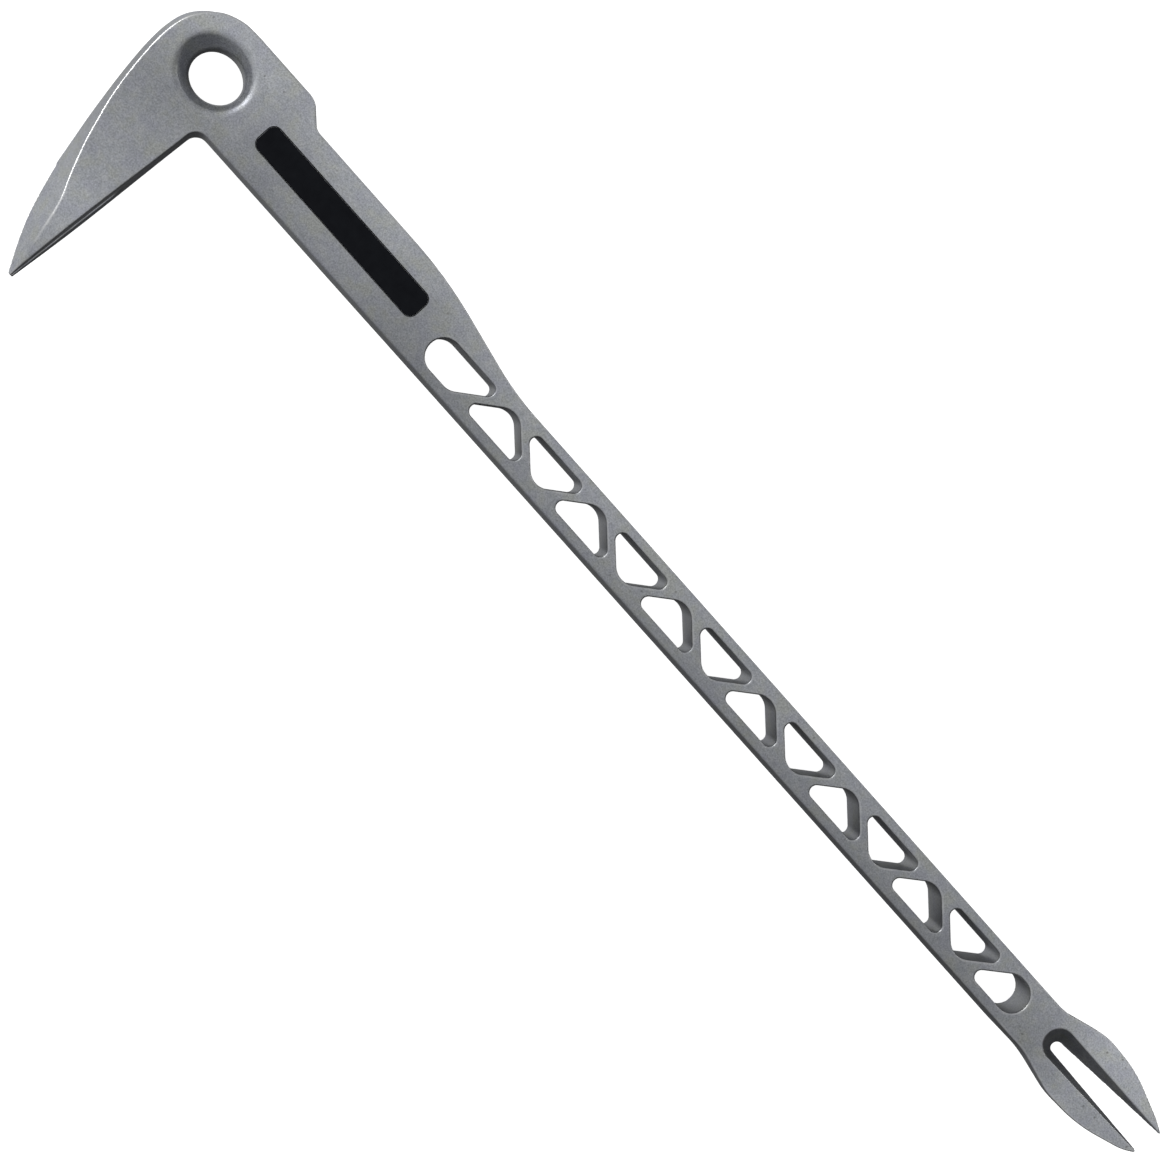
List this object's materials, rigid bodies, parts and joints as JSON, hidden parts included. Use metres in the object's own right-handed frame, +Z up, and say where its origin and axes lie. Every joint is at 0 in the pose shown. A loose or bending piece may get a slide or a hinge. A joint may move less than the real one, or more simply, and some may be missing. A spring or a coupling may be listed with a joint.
{
  "type": "nail-pulling claw bar",
  "caption": "One-hand cast claw bar with a right-angle slotted spike, a striking face, a hanging eye, a truss-cut shank and a straight slotted fork.",
  "frame": {"origin": "bottom centre of the bar's box as it lies on its side", "axes": "+X along the shank from the head to the fork tips, +Z up through the thickness, the spike points to -Y"},
  "size_m": [0.29, 0.0646, 0.018],
  "materials": {
    "cast_titanium": "bead-blasted cast titanium, satin grey",
    "black_enamel": "satin black enamel fill"
  },
  "bodies": {
    "root": {"claw_bar_casting": "cast_titanium", "badge_inlay": "black_enamel"}
  },
  "joints": []
}
